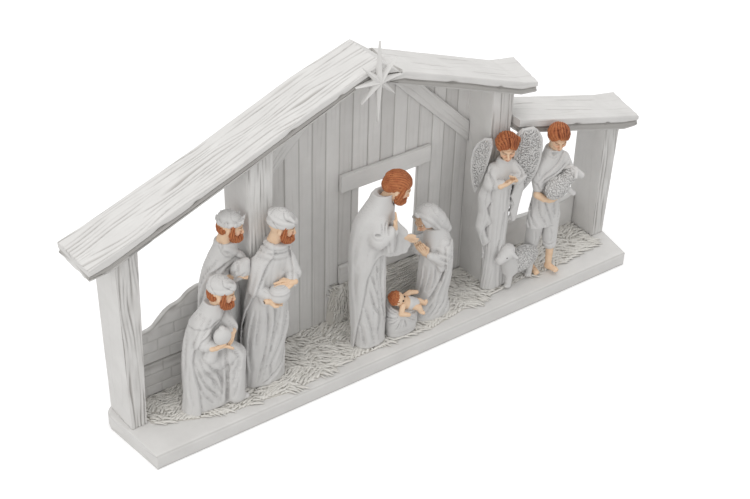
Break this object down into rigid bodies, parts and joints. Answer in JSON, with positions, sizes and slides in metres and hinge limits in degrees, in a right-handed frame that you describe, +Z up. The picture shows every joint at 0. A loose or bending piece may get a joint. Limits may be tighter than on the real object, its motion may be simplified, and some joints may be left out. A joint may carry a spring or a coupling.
{
  "type": "nativity stable",
  "caption": "White cast-resin nativity stable front on a plinth, with a plank wall, split-level roof, star and three lift-out groups of painted figures.",
  "frame": {"origin": "centre of the plinth's flat underside, under the middle of its front edge's length", "axes": "+X along the plinth to the right of someone facing the open front, +Y from the open front to the back, +Z up"},
  "size_m": [0.4512, 0.061, 0.246],
  "materials": {
    "stable_white": "matte cast resin, warm white",
    "figure_white": "matte cast resin, cool white",
    "painted_skin": "matte paint over cast resin",
    "painted_hair": "matte paint over cast resin"
  },
  "bodies": {
    "stable": {"plinth": "stable_white", "straw_bed": "stable_white", "post_left": "stable_white", "post_left_inner": "stable_white", "post_right_inner": "stable_white", "post_right": "stable_white", "wall_planks_left": "stable_white", "wall_planks_right": "stable_white", "wall_planks_over_window": "stable_white", "wall_planks_under_window": "stable_white", "window_lintel": "stable_white", "window_sill": "stable_white", "brace_left": "stable_white", "brace_right": "stable_white", "hay_heap": "stable_white", "brick_wall": "stable_white", "short_wall": "stable_white", "roof_board_left": "stable_white", "roof_board_right": "stable_white", "roof_board_lower": "stable_white", "star": "stable_white"},
    "kings_group": {"kneeling_king_robe": "figure_white", "kneeling_king_head": "painted_skin", "kneeling_king_beard": "painted_hair", "kneeling_king_turban": "figure_white", "kneeling_king_gift": "figure_white", "standing_king_robe": "figure_white", "standing_king_head": "painted_skin", "standing_king_beard": "painted_hair", "standing_king_turban": "figure_white", "standing_king_gift": "figure_white", "rear_king_robe": "figure_white", "rear_king_head": "painted_skin", "rear_king_beard": "painted_hair", "rear_king_turban": "figure_white", "rear_king_gift": "figure_white"},
    "family_group": {"father_robe": "figure_white", "father_head": "painted_skin", "father_hair": "painted_hair", "father_hand_raised": "painted_skin", "father_hand_reaching": "painted_skin", "mother_mantle": "figure_white", "mother_head": "painted_skin", "mother_hands": "painted_skin", "crib_bundle": "figure_white", "child": "painted_skin"},
    "shepherd_group": {"angel_gown": "figure_white", "angel_head": "painted_skin", "angel_hair": "painted_hair", "angel_hands": "painted_skin", "angel_wing_left": "figure_white", "angel_wing_right": "figure_white", "shepherd_tunic": "figure_white", "shepherd_head": "painted_skin", "shepherd_hair": "painted_hair", "shepherd_leg_left": "painted_skin", "shepherd_leg_right": "painted_skin", "shepherd_forearm": "painted_skin", "lamb": "figure_white", "sheep": "figure_white"}
  },
  "joints": [
    {"name": "kings_lift_out", "type": "slide", "parent": "stable", "child": "kings_group", "axis": [0, -0.9848, 0.1736], "range_m": [0, 0.07]},
    {"name": "family_lift_out", "type": "slide", "parent": "stable", "child": "family_group", "axis": [0, -0.9848, 0.1736], "range_m": [0, 0.07]},
    {"name": "shepherd_lift_out", "type": "slide", "parent": "stable", "child": "shepherd_group", "axis": [0, -0.9848, 0.1736], "range_m": [0, 0.07]}
  ]
}
